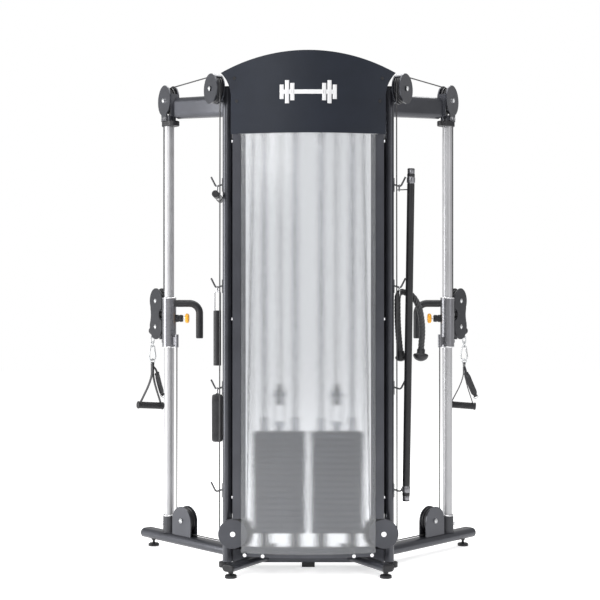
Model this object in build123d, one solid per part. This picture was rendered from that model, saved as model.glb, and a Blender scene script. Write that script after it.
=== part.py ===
from build123d import *
import math
import os

os.makedirs("parts", exist_ok=True)

# Functional trainer (dual adjustable cable machine), millimetres.
# +Z is up, +X is to the right and +Y runs from the shrouded side to the user's side.
# Everything is laid out from the line of the front feet, then moved back by DEPTH_CENTRE,
# so that the origin is on the floor at the middle of the whole machine.
# Each side is made once, on the right, and mirrored to the left.

DEPTH_CENTRE = 366

# Tower
POST_X, POST_Y = 347, 205
POST_WIDE, POST_DEEP = 42, 76
POST_BOTTOM, POST_TOP = 28, 2060
POST_OUTER = POST_X + POST_WIDE / 2
POST_INNER = POST_X - POST_WIDE / 2
BASE_TUBE_Y, BASE_TUBE_DEEP = 222, 50
BASE_TUBE_LOW, BASE_TUBE_TOP = 20, 80
BEAM_FRONT, BEAM_BACK, BEAM_LOW, BEAM_TOP = 204, 264, 1960, 2040

# Uprights, outer legs and top arms, all in one vertical plane on each side
UPRIGHT_X, UPRIGHT_Y, UPRIGHT_R = 642, 574, 22.25
LEG_ANGLE = 44.5
LEG_WIDE, LEG_TALL, LEG_MIDDLE_Z = 76, 44, 58
LEG_OUT, LEG_IN = 160, 470
ARM_WIDE, ARM_TALL = 50, 97
ARM_Z_IN, ARM_Z_OUT = 1995, 2033

# Cable and pulley wheels
CABLE_R = 2.75
AXLE_R, BORE_R = 8.0, 8.06
WHEEL_HALF = 11
BIG_CABLE_R, SMALL_CABLE_R, SWIVEL_CABLE_R = 57, 45, 49
LOW_WHEEL_Z = 147
TOP_ANGLE, TOP_SPAN = 60.6, 500
TOP_INNER, TOP_OUTER_Z = Vector(400, 142, 2048), 2069
TOWER_WHEEL = Vector(317, 90, 168)
HEADER_WHEEL_X, HEADER_WHEEL_Z, HEADER_FRONT_Y, HEADER_REAR_Y = 180, 1950, 190, 280

# Weight stacks
STACK_X, STACK_Y = 123, 235
PLATE_WIDE, PLATE_DEEP, PLATE_THICK, PLATE_GAP = 222, 100, 24.8, 0.5
PLATE_COUNT = 17
STACK_LOW = 148
ROD_OFFSET, ROD_R, ROD_TOP = 67, 10, 1915
HEAD_WHEEL_Z = 740

# Sliding carriage and its swivel
SLEEVE_R, SLEEVE_LOW, SLEEVE_TOP = 32, 933, 1160
SLEEVE_BORE = UPRIGHT_R + 0.08
GRIP_R, GRIP_REACH, GRIP_Z, GRIP_END_Z = 16, 140, 1134, 975
PIN_Z = 1065
SWIVEL_ANGLE = 55
SWIVEL_UPPER_Z, SWIVEL_LOWER_Z, SWIVEL_MIDDLE_Z = 1146, 1025, 1082
BALL_REACH, BALL_Z, BALL_R, EYE_DROP = 114, 1004, 18, 27

# Panels
PANEL_CENTRE_Y, SHROUD_R, SHROUD_THICK = 961, 946, 5
SHROUD_HALF, SHROUD_LOW, SHROUD_TOP = 282, 92, 1860
HEADER_HALF, HEADER_CORNER, HEADER_LOW, HEADER_PEAK = 325, 368, 1845, 2187
CHANNEL_LOW, CHANNEL_TOP = 233, 1845

HOOK_HEIGHTS = (1638, 1202, 765, 324)
HOOK_X, HOOK_Y, HOOK_LOW_X = 398, 205, 392

written = {}


# ---------------------------------------------------------------- helpers
def heading(degrees):
    """Level unit vector at an angle from +X towards +Y."""
    a = math.radians(degrees)
    return Vector(math.cos(a), math.sin(a), 0)


def rod(a, b, r):
    a, b = Vector(*a), Vector(*b)
    return extrude(Plane(origin=a, z_dir=b - a) * Circle(r), (b - a).length)


def pipe(a, b, r, bore):
    return rod(a, b, r) - rod(a, b, bore)


def block(lo, hi):
    size = [h - l for l, h in zip(lo, hi)]
    middle = [(h + l) / 2 for l, h in zip(lo, hi)]
    return Pos(*middle) * Box(*size)


def oval_bar(a, b, wide, tall):
    """Obround bar from a to b: wide is measured level and tall upright."""
    a, b = Vector(*a), Vector(*b)
    run = b - a
    level = Vector(0, 0, 1).cross(run).normalized()
    section = SlotOverall(max(wide, tall), min(wide, tall))
    if tall > wide:
        section = Rot(0, 0, 90) * section
    return extrude(Plane(origin=a, x_dir=level, z_dir=run) * section, run.length)


def wall(origin, along):
    """Upright drawing plane through origin: local x along the heading, local y up from the floor."""
    return Plane(origin=(origin.X, origin.Y, 0), x_dir=along, z_dir=(along.Y, -along.X, 0))


def slab(plane, sketch, near, far):
    """A sketch made solid from near to far along the plane's normal."""
    return extrude(plane.offset(near) * sketch, far - near)


def box_sketch(x0, x1, y0, y1):
    return Pos((x0 + x1) / 2, (y0 + y1) / 2) * Rectangle(x1 - x0, y1 - y0)


def bend_rod(points, r, radii):
    """Round rod along straight runs joined by tangent arcs."""
    path = FilletPolyline(*points, radius=radii)
    start = Plane(origin=path @ 0, z_dir=path % 0)
    return sweep(start * Circle(r), path=path)


def pulley(cable_radius):
    """Grooved cable wheel about its own Z axis, with a thinner web between hub and rim."""
    rim, hub, web, shoulder = cable_radius + 3, 17, 5, 14
    side = [
        (BORE_R, WHEEL_HALF), (hub, WHEEL_HALF), (hub, web), (rim - shoulder, web),
        (rim - shoulder, WHEEL_HALF), (rim, WHEEL_HALF), (rim, 5.5), (cable_radius, 4),
    ]
    other = [(x, -z) for x, z in reversed(side)]
    groove = ThreePointArc(side[-1], (cable_radius - 3.7, 0), other[0])
    outline = [Polyline(*side), groove, Polyline(*other), Line(other[-1], side[0])]
    return revolve(Plane.XZ * make_face(outline), Axis.Z)


def wheel_at(centre, axis, cable_radius):
    return Plane(origin=centre, z_dir=axis) * pulley(cable_radius)


def wrap(centre, axis, start, turn):
    """Cable round a wheel: from the point start, turning about the wheel's axis."""
    axis, spoke = Vector(*axis), start - centre
    face = Plane(origin=start, z_dir=axis.cross(spoke)) * Circle(CABLE_R)
    return revolve(face, Axis(centre, axis), turn)


def axle(centre, axis, low, high, head=5, radius=AXLE_R):
    """Axle bolt through a wheel, with a round head at each end."""
    axis = Vector(*axis)
    body = rod(centre + axis * low, centre + axis * high, radius)
    body += rod(centre + axis * (low - head), centre + axis * low, radius + 3)
    return body + rod(centre + axis * high, centre + axis * (high + head), radius + 3)


def ring(centre, major, minor, axis):
    return Plane(origin=centre, z_dir=axis) * Torus(major, minor)


def mirrored(shape):
    return mirror(shape, about=Plane.YZ)


def both(shapes):
    """The right-hand shapes with their left-hand twins."""
    return list(shapes) + [mirrored(s) for s in shapes]


def cut(shape, tools):
    for tool in tools:
        shape = shape - tool
    return shape


def write(node, shapes):
    solids = []
    for shape in shapes:
        solids += list(shape.solids())
    moved = [Pos(0, -DEPTH_CENTRE, 0) * s for s in solids]
    export_step(Compound(children=moved), f"parts/{node}.step")
    written[node] = len(moved)


def write_pair(node, shapes):
    """Right-hand node and its mirrored left-hand node."""
    write(node + "_right", shapes)
    write(node + "_left", [mirrored(s) for s in shapes])


# ---------------------------------------------------------------- layout
LEG = heading(LEG_ANGLE)
LEG_SIDE = Vector(LEG.Y, -LEG.X, 0)
TOP = heading(TOP_ANGLE)
TOP_SIDE = Vector(TOP.Y, -TOP.X, 0)
SWING = heading(SWIVEL_ANGLE)
SWING_SIDE = Vector(SWING.Y, -SWING.X, 0)
UP = Vector(0, 0, 1)
DEPTHWAYS = Vector(0, 1, 0)
SIDEWAYS = Vector(1, 0, 0)

UPRIGHT = Vector(UPRIGHT_X, UPRIGHT_Y, 0)
LEG_WHEEL = UPRIGHT - LEG * 112 + UP * LOW_WHEEL_Z
BASE_WHEEL = UPRIGHT - LEG * 500 + UP * LOW_WHEEL_Z
TOP_OUTER = Vector(TOP_INNER.X, TOP_INNER.Y, TOP_OUTER_Z) + TOP * TOP_SPAN
SWIVEL = Vector(TOP_OUTER.X, TOP_OUTER.Y, 0) + TOP * BIG_CABLE_R
HEADER_FRONT = Vector(HEADER_WHEEL_X, HEADER_FRONT_Y, HEADER_WHEEL_Z)
HEADER_REAR = Vector(HEADER_WHEEL_X, HEADER_REAR_Y, HEADER_WHEEL_Z)
HEAD_WHEEL = Vector(STACK_X, STACK_Y, HEAD_WHEEL_Z)
SWIVEL_UPPER = SWIVEL + SWING * SWIVEL_CABLE_R + UP * SWIVEL_UPPER_Z
SWIVEL_LOWER = SWIVEL + SWING * SWIVEL_CABLE_R + UP * SWIVEL_LOWER_Z
BALL = SWIVEL + SWING * BALL_REACH + UP * BALL_Z
ANCHOR = UPRIGHT - LEG * (112 - BIG_CABLE_R)
LEG_WALL = wall(UPRIGHT, LEG)
PITCH = PLATE_THICK + PLATE_GAP
TOP_PLATE_LOW = STACK_LOW + (PLATE_COUNT - 1) * PITCH
HEAD_TOP = TOP_PLATE_LOW + PLATE_THICK


# ---------------------------------------------------------------- fasteners that other parts are drilled for
def make_axles():
    return {
        "leg": axle(LEG_WHEEL, LEG_SIDE, -21, 21),
        "base": axle(BASE_WHEEL, LEG_SIDE, -18, 18, head=4),
        "top_inner": axle(TOP_INNER, TOP_SIDE, -20, 20),
        "top_outer": axle(TOP_OUTER, TOP_SIDE, -24, 24),
        "tower": axle(TOWER_WHEEL, DEPTHWAYS, -21, 27, head=6),
        "header": axle(HEADER_FRONT, DEPTHWAYS, -13, 103),
    }


AXLES = make_axles()


# ---------------------------------------------------------------- tower
def make_post():
    section = Rot(0, 0, 90) * SlotOverall(POST_DEEP, POST_WIDE)
    return extrude(Plane(origin=(POST_X, POST_Y, POST_BOTTOM)) * section, POST_TOP - POST_BOTTOM)


def make_beam():
    """Cross beam between the posts, with the hangers of the header wheels' axles."""
    beam = block((-POST_INNER, BEAM_FRONT, BEAM_LOW), (POST_INNER, BEAM_BACK, BEAM_TOP))
    for x in (-HEADER_WHEEL_X, HEADER_WHEEL_X):
        for near in (BEAM_FRONT + 1, BEAM_BACK - 7):
            beam += block((x - 20, near, HEADER_WHEEL_Z - 22), (x + 20, near + 6, BEAM_LOW))
    return cut(beam, [AXLES["header"], mirrored(AXLES["header"])])


def make_header_bracket():
    """Angle from the beam forward to the header panel."""
    return block((296, 78, 1962), (302, BEAM_FRONT, 2096)) + block((302, 84, 1962), (318, 88, 2096))


def make_rod_bridge():
    """Plate over the guide rods, held to the beam at both ends."""
    inner, outer = STACK_X - 93, STACK_X + 93
    front, back = STACK_Y - 13, STACK_Y + 13
    bridge = block((inner, front, ROD_TOP), (outer, back, ROD_TOP + 8))
    bridge += block((inner, front, ROD_TOP), (inner + 8, back, BEAM_LOW))
    return bridge + block((outer - 8, front, ROD_TOP), (outer, back, BEAM_LOW))


def make_base():
    front, back = BASE_TUBE_Y - BASE_TUBE_DEEP / 2, BASE_TUBE_Y + BASE_TUBE_DEEP / 2
    tube = block((-POST_INNER, front, BASE_TUBE_LOW), (POST_INNER, back, BASE_TUBE_TOP))
    tube = fillet(tube.edges().filter_by(Axis.X), 6)
    leg = oval_bar((329, -8, 42), (190, 215, 42), 57, 31)
    return tube, leg - tube


POST, BEAM = make_post(), make_beam()
BASE_TUBE, FRONT_LEG = make_base()
write("tower_frame", both([POST, make_header_bracket(), make_rod_bridge()]) + [BEAM])
write("base_frame", [BASE_TUBE] + both([FRONT_LEG]))


# ---------------------------------------------------------------- outer legs, uprights and arms
def make_outer_leg():
    start, end = UPRIGHT - LEG * LEG_IN, UPRIGHT + LEG * LEG_OUT
    leg = oval_bar(start + UP * LEG_MIDDLE_Z, end + UP * LEG_MIDDLE_Z, LEG_WIDE, LEG_TALL)
    socket = pipe(UPRIGHT + UP * 78, UPRIGHT + UP * 158, 28.5, UPRIGHT_R + 0.05)
    leg -= rod(UPRIGHT + UP * 78, UPRIGHT + UP * 90, UPRIGHT_R + 0.05)
    tube_room = block(
        (-POST_INNER, BASE_TUBE_Y - BASE_TUBE_DEEP / 2, 10),
        (POST_INNER, BASE_TUBE_Y + BASE_TUBE_DEEP / 2, 90),
    )
    return cut(leg + socket, [POST, tube_room])


def make_upright():
    tube = pipe(UPRIGHT + UP * 78, UPRIGHT + UP * 1998, UPRIGHT_R, UPRIGHT_R - 3)
    holes = [
        rod(UPRIGHT + UP * z - SIDEWAYS * 15, UPRIGHT + UP * z - SIDEWAYS * 30, 5.5)
        for z in range(365, 1860, 70)
    ]
    return cut(tube, holes)


def make_top_bracket():
    """Side plates, front web and clamp ring that carry the outer top wheel over the upright."""
    plane = wall(TOP_OUTER, TOP)
    disc = Pos(0, TOP_OUTER.Z) * Circle(70)
    tongue = box_sketch(-30, 30, 1974, TOP_OUTER.Z)
    plates = [slab(plane, disc + tongue, low, low + 6) for low in (-24, 18)]
    plates = [p - AXLES["top_outer"] for p in plates]
    web = slab(plane, box_sketch(-72, -66, 1990, 2092), -18, 18)
    ring = pipe(UPRIGHT + UP * 1974, UPRIGHT + UP * 1999, 29, UPRIGHT_R + 0.05)
    ring -= slab(plane, box_sketch(-60, 60, 1970, 2010), 18, 40)
    ring -= slab(plane, box_sketch(-60, 60, 1970, 2010), -40, -18)
    plates = [p - rod(UPRIGHT + UP * 1970, UPRIGHT + UP * 2001, UPRIGHT_R + 0.05) for p in plates]
    plates = [p - web for p in plates]
    return plates + [web, ring]


TOP_BRACKET = make_top_bracket()


def make_arm():
    start = UPRIGHT - LEG * LEG_IN + UP * ARM_Z_IN
    arm = oval_bar(start, UPRIGHT + UP * ARM_Z_OUT, ARM_WIDE, ARM_TALL)
    plane = wall(TOP_OUTER, TOP)
    room = slab(plane, box_sketch(-72, 120, 1900, 2200), -24, 24)
    arm -= room + slab(plane, box_sketch(-50, 120, 1900, 2200), -60, 60)
    gusset_z = [(-LEG_IN + 80, 2035), (-300, 2035), (-LEG_IN + 80, 2068)]
    gusset = slab(LEG_WALL, make_face(Polyline(*gusset_z, gusset_z[0])), -4, 4)
    keep_out = rod(UPRIGHT + UP * 1900, UPRIGHT + UP * 2100, 29.2)
    body = cut(arm + gusset, [POST, BEAM, keep_out])
    return max(body.solids(), key=lambda s: s.volume)


OUTER_LEG, UPRIGHT_TUBE, ARM = make_outer_leg(), make_upright(), make_arm()
write("outer_legs", both([OUTER_LEG]))
write("uprights", both([UPRIGHT_TUBE]))
write("top_arms", both([ARM]))


# ---------------------------------------------------------------- fixed pulley brackets
def make_leg_bracket():
    plane = wall(LEG_WHEEL, LEG)
    outline = Pos(0, LOW_WHEEL_Z) * Circle(64) + box_sketch(-64, 64, LEG_MIDDLE_Z, LOW_WHEEL_Z)
    plates = [slab(plane, outline, low, low + 5) for low in (-21, 16)]
    return [cut(p, [AXLES["leg"], OUTER_LEG]) for p in plates]


def make_base_bracket():
    plane = wall(BASE_WHEEL, LEG)
    outline = Pos(0, LOW_WHEEL_Z) * Circle(26) + box_sketch(-26, 22, BASE_TUBE_TOP - 10, LOW_WHEEL_Z)
    plates = [slab(plane, outline, low, low + 4) for low in (-18, 14)]
    return [cut(p, [AXLES["base"], BASE_TUBE, OUTER_LEG]) for p in plates]


def make_top_inner_bracket():
    plane = wall(TOP_INNER, TOP)
    disc = Pos(0, TOP_INNER.Z) * Circle(64)
    plates = [slab(plane, disc, low, low + 5) for low in (-20, 15)]
    bridge = slab(plane, disc - Pos(0, TOP_INNER.Z) * Circle(61.5), -15, 15)
    bridge &= slab(plane, box_sketch(-44, -12, TOP_INNER.Z, TOP_INNER.Z + 70), -15, 15)
    near, far = 15, 50
    edge = [TOP_INNER - TOP_SIDE * 20 + TOP * s for s in (near, far)]
    corners = [(POST_OUTER - 8, 165), (edge[0].X, edge[0].Y), (edge[1].X, edge[1].Y), (POST_OUTER - 8, 218)]
    wedge = extrude(Plane(origin=(0, 0, 1995)) * make_face(Polyline(*corners, corners[0])), 50)
    plates = [p - AXLES["top_inner"] for p in plates]
    return plates + [bridge, cut(wedge, [POST] + plates + [AXLES["top_inner"]])]


def make_tower_wheel_bracket():
    """Front cover disc and rear plate of the tower's low wheel, with the arm back to the post."""
    face = Plane(origin=TOWER_WHEEL, z_dir=DEPTHWAYS)
    cover = extrude(face.offset(-21) * Circle(62), 5)
    cover = chamfer(cover.edges().sort_by(Axis.Y)[0], 1.5)
    rear = extrude(face.offset(15) * Circle(40), 6)
    arm = block((322, TOWER_WHEEL.Y + 21, 136), (342, POST_Y, 200))
    spacer = pipe(TOWER_WHEEL - DEPTHWAYS * 16, TOWER_WHEEL - DEPTHWAYS * 12, 14, AXLE_R)
    return [
        cover - AXLES["tower"], spacer, rear - AXLES["tower"], cut(arm, [POST, AXLES["tower"]]),
    ]


write(
    "pulley_brackets",
    both(
        TOP_BRACKET
        + make_leg_bracket()
        + make_base_bracket()
        + make_top_inner_bracket()
        + make_tower_wheel_bracket()
    ),
)


# ---------------------------------------------------------------- panels
def bowed_panel(outer_r, thick, half, low, high):
    """Upright panel bowed towards the front, in plan an arc about a point on the centre line."""
    centre = Pos(0, PANEL_CENTRE_Y, (low + high) / 2)
    ring = centre * Cylinder(outer_r, high - low) - centre * Cylinder(outer_r - thick, high - low)
    return ring & block((-half, -50, low), (half, PANEL_CENTRE_Y / 2, high))


def make_header():
    panel = bowed_panel(SHROUD_R + 7, 4.5, HEADER_CORNER + 5, HEADER_LOW, HEADER_PEAK)
    corner, shoulder, waist = (HEADER_CORNER, 2105), (HEADER_HALF + 11, 2056), (HEADER_HALF, 1985)

    def flip(p):
        return (-p[0], p[1])

    outline = [
        Line((-HEADER_HALF, HEADER_LOW), (HEADER_HALF, HEADER_LOW)),
        Line((HEADER_HALF, HEADER_LOW), waist),
        ThreePointArc(waist, shoulder, corner),
        ThreePointArc(corner, (0, HEADER_PEAK), flip(corner)),
        ThreePointArc(flip(corner), flip(shoulder), flip(waist)),
        Line(flip(waist), (-HEADER_HALF, HEADER_LOW)),
    ]
    return panel & extrude(Plane.XZ * make_face(outline), 400, both=True)


def make_shroud_mounts():
    """Side channel, and the bottom rail with its two struts back to the base tube."""
    z = CHANNEL_LOW
    tall = CHANNEL_TOP - CHANNEL_LOW
    plan = [
        (283, 60), (317, 60), (317, 188), (POST_INNER, 188), (POST_INNER, 191), (314, 191),
        (314, 63), (286, 63), (286, 69), (262, 69), (262, 66), (283, 66),
    ]
    return extrude(Plane(origin=(0, 0, z)) * make_face(Polyline(*plan, plan[0])), tall)


def make_rail():
    rail = bowed_panel(SHROUD_R - 7, 5, 276, 76, 118)
    struts = []
    for x in (-150, 150):
        strut = block((x - 12, 30, 94), (x + 12, BASE_TUBE_Y - 5, 100))
        strut += block((x - 12, BASE_TUBE_Y - 20, BASE_TUBE_TOP), (x + 12, BASE_TUBE_Y - 5, 100))
        struts.append(strut - rail)
    struts = [max(s.solids(), key=lambda p: p.volume) for s in struts]
    return [rail] + struts


SHROUD = bowed_panel(SHROUD_R, SHROUD_THICK, SHROUD_HALF, SHROUD_LOW, SHROUD_TOP)
write("shroud_panel", [SHROUD])
write("header_panel", [make_header()])
write("shroud_channels", both([make_shroud_mounts()]) + make_rail())


# ---------------------------------------------------------------- weight stacks
def stack_plate(low):
    plate = block(
        (STACK_X - PLATE_WIDE / 2, STACK_Y - PLATE_DEEP / 2, low),
        (STACK_X + PLATE_WIDE / 2, STACK_Y + PLATE_DEEP / 2, low + PLATE_THICK),
    )
    plate = fillet(plate.edges().filter_by(Axis.Z), 6)
    for x in (STACK_X - ROD_OFFSET, STACK_X + ROD_OFFSET):
        plate -= rod((x, STACK_Y, low), (x, STACK_Y, low + PLATE_THICK), ROD_R + 1)
    return plate


def pin_hole(z):
    return rod((STACK_X, STACK_Y - 15, z), (STACK_X, STACK_Y + PLATE_DEEP, z), 4.6)


def make_stack():
    first = stack_plate(STACK_LOW)
    first -= rod((STACK_X, STACK_Y, STACK_LOW), (STACK_X, STACK_Y, STACK_LOW + PLATE_THICK), 10.5)
    first -= pin_hole(STACK_LOW + PLATE_THICK / 2)
    return [Pos(0, 0, n * PITCH) * first for n in range(PLATE_COUNT - 1)]


def make_guide_rods():
    return [
        rod((x, STACK_Y, BASE_TUBE_TOP), (x, STACK_Y, ROD_TOP), ROD_R)
        for x in (STACK_X - ROD_OFFSET, STACK_X + ROD_OFFSET)
    ]


def make_selector_head():
    """Top plate, selector stem, rod bushes and the yoke that holds the travelling wheel."""
    plate = stack_plate(TOP_PLATE_LOW)
    stem = rod((STACK_X, STACK_Y, STACK_LOW + 4), (STACK_X, STACK_Y, HEAD_TOP + 10), 9.5)
    collar = rod((STACK_X, STACK_Y, HEAD_TOP), (STACK_X, STACK_Y, HEAD_TOP + 30), 20)
    head = plate + stem + collar
    for n in range(PLATE_COUNT):
        head -= pin_hole(STACK_LOW + PLATE_THICK / 2 + n * PITCH)
    for x in (STACK_X - ROD_OFFSET, STACK_X + ROD_OFFSET):
        head += pipe((x, STACK_Y, HEAD_TOP), (x, STACK_Y, HEAD_TOP + 62), 18, ROD_R + 0.4)
    low = HEAD_TOP + 30
    yoke = block((STACK_X - 24, STACK_Y - 30, low), (STACK_X + 24, STACK_Y + 30, low + 14))
    for x in (STACK_X - 24, STACK_X + 16):
        yoke += block((x, STACK_Y - 22, low), (x + 8, STACK_Y + 22, HEAD_WHEEL_Z + 20))
    pin = axle(HEAD_WHEEL, SIDEWAYS, -24, 24)
    loop = wrap(HEAD_WHEEL, SIDEWAYS, HEAD_WHEEL - DEPTHWAYS * SMALL_CABLE_R, 180)
    return [head + yoke - pin, pin, loop]


def make_selector_pin():
    z = TOP_PLATE_LOW + PLATE_THICK / 2
    face = STACK_Y + PLATE_DEEP / 2
    pin = rod((STACK_X, STACK_Y - 12, z), (STACK_X, face + 8, z), 4.2)
    return [pin + rod((STACK_X, face + 1, z), (STACK_X, face + 34, z), 11)]


write("weight_plates", both(make_stack()))
write("guide_rods", both(make_guide_rods()))
write_pair("selector_head", make_selector_head())
write_pair("selector_pin", make_selector_pin())


# ---------------------------------------------------------------- wheels
WHEELS = {
    "top_outer_wheel": (TOP_OUTER, TOP_SIDE, BIG_CABLE_R),
    "top_inner_wheel": (TOP_INNER, TOP_SIDE, BIG_CABLE_R),
    "tower_wheel": (TOWER_WHEEL, DEPTHWAYS, BIG_CABLE_R),
    "header_front_wheel": (HEADER_FRONT, DEPTHWAYS, BIG_CABLE_R),
    "header_rear_wheel": (HEADER_REAR, DEPTHWAYS, BIG_CABLE_R),
    "base_wheel": (BASE_WHEEL, LEG_SIDE, BIG_CABLE_R),
    "leg_wheel": (LEG_WHEEL, LEG_SIDE, BIG_CABLE_R),
    "travelling_wheel": (HEAD_WHEEL, SIDEWAYS, SMALL_CABLE_R),
    "swivel_upper_wheel": (SWIVEL_UPPER, SWING_SIDE, SWIVEL_CABLE_R),
    "swivel_lower_wheel": (SWIVEL_LOWER, SWING_SIDE, SWIVEL_CABLE_R),
}
for name, (centre, axis, cable_radius) in WHEELS.items():
    write_pair(name, [wheel_at(centre, axis, cable_radius)])


# ---------------------------------------------------------------- cables
def joined(pieces):
    whole = pieces[0]
    for piece in pieces[1:]:
        whole = whole + piece
    return whole


def make_fixed_cables():
    """The runs that keep their shape: over the top to the header, and from the header to the leg."""
    outer_far, outer_top = TOP_OUTER + TOP * BIG_CABLE_R, TOP_OUTER + UP * BIG_CABLE_R
    inner_top, inner_near = TOP_INNER + UP * BIG_CABLE_R, TOP_INNER - TOP * BIG_CABLE_R
    tower_out, tower_in = TOWER_WHEEL + SIDEWAYS * BIG_CABLE_R, TOWER_WHEEL - SIDEWAYS * BIG_CABLE_R
    front_out = HEADER_FRONT + SIDEWAYS * BIG_CABLE_R
    upper = joined([
        wrap(TOP_OUTER, TOP_SIDE, outer_far, 90),
        rod(outer_top, inner_top, CABLE_R),
        wrap(TOP_INNER, TOP_SIDE, inner_top, 90),
        rod(inner_near, tower_out, CABLE_R),
        wrap(TOWER_WHEEL, DEPTHWAYS, tower_out, 180),
        rod(tower_in, front_out, CABLE_R),
        wrap(HEADER_FRONT, DEPTHWAYS, front_out, -180),
    ])
    rear_in, rear_out = HEADER_REAR - SIDEWAYS * BIG_CABLE_R, HEADER_REAR + SIDEWAYS * BIG_CABLE_R
    base_in, base_low = BASE_WHEEL - LEG * BIG_CABLE_R, BASE_WHEEL - UP * BIG_CABLE_R
    leg_low = LEG_WHEEL - UP * BIG_CABLE_R
    lower = joined([
        wrap(HEADER_REAR, DEPTHWAYS, rear_in, 180),
        rod(rear_out, base_in, CABLE_R),
        wrap(BASE_WHEEL, LEG_SIDE, base_in, 90),
        rod(base_low, leg_low, CABLE_R),
        wrap(LEG_WHEEL, LEG_SIDE, leg_low, 90),
    ])
    return [upper, lower]


def make_stack_cable():
    """Two strands from the header wheels down to the travelling wheel."""
    front, rear = HEAD_WHEEL - DEPTHWAYS * SMALL_CABLE_R, HEAD_WHEEL + DEPTHWAYS * SMALL_CABLE_R
    rise = UP * (HEADER_WHEEL_Z - HEAD_WHEEL_Z)
    return [rod(front, front + rise, CABLE_R), rod(rear, rear + rise, CABLE_R)]


FIXED_CABLES = make_fixed_cables()
write("cables_fixed", both(FIXED_CABLES))
write_pair("cable_upper_line", [rod(SWIVEL + UP * SWIVEL_UPPER_Z, SWIVEL + UP * TOP_OUTER_Z, CABLE_R)])
write_pair("cable_lower_line", [rod(ANCHOR + UP * LOW_WHEEL_Z, ANCHOR + UP * SLEEVE_LOW, CABLE_R)])
write_pair("cable_stack_lines", make_stack_cable())


# ---------------------------------------------------------------- carriage
def lug(low, high, pin_r):
    """Bar from the sleeve out to the swivel's axis, with a rounded end and a pin hole."""
    reach = SWIVEL - UPRIGHT
    end = Plane(origin=(SWIVEL.X, SWIVEL.Y, low)) * Circle(11)
    bar = oval_bar(UPRIGHT + UP * (low + high) / 2, SWIVEL + UP * (low + high) / 2, 22, 30)
    bar &= block((0, 0, low), (2 * UPRIGHT_X, 2 * UPRIGHT_Y, high))
    near = UPRIGHT + reach.normalized() * 26
    bar &= rod(near + UP * low, near + UP * high, 60)
    return bar + extrude(end, high - low) - rod(SWIVEL + UP * low, SWIVEL + UP * high, pin_r)


def make_carriage():
    sleeve = rod(UPRIGHT + UP * SLEEVE_LOW, UPRIGHT + UP * SLEEVE_TOP, SLEEVE_R)
    grip_points = [
        UPRIGHT + UP * GRIP_Z - SIDEWAYS * 20,
        UPRIGHT + UP * GRIP_Z - SIDEWAYS * GRIP_REACH,
        UPRIGHT + UP * GRIP_END_Z - SIDEWAYS * GRIP_REACH,
    ]
    grip = bend_rod(grip_points, GRIP_R, 46)
    barrel = rod(UPRIGHT + UP * PIN_Z - SIDEWAYS * 20, UPRIGHT + UP * PIN_Z - SIDEWAYS * 64, 15)
    anchor = rod(ANCHOR + UP * SLEEVE_LOW, ANCHOR + UP * 992, 8)
    anchor_lug = slab(LEG_WALL, box_sketch(-58, -24, 944, 980), -5, 5)
    body = sleeve + grip + barrel + anchor + anchor_lug
    body += lug(1070, 1094, 5.06) + lug(951, 965, 5.06)
    body -= rod(UPRIGHT + UP * (SLEEVE_LOW - 5), UPRIGHT + UP * (SLEEVE_TOP + 5), SLEEVE_BORE)
    body -= rod(UPRIGHT + UP * PIN_Z, UPRIGHT + UP * PIN_Z - SIDEWAYS * 70, 5.06)
    return body


def make_pop_pin():
    base = UPRIGHT + UP * PIN_Z
    shaft = rod(base - SIDEWAYS * 23, base - SIDEWAYS * 74, 5)
    neck = rod(base - SIDEWAYS * 68, base - SIDEWAYS * 76, 11)
    knob = Pos(0, 0, 9) * fillet(Cylinder(23, 18).edges(), 8.5)
    knob = Plane(origin=base - SIDEWAYS * 74, z_dir=-SIDEWAYS) * knob
    return [shaft + neck + knob]


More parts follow.
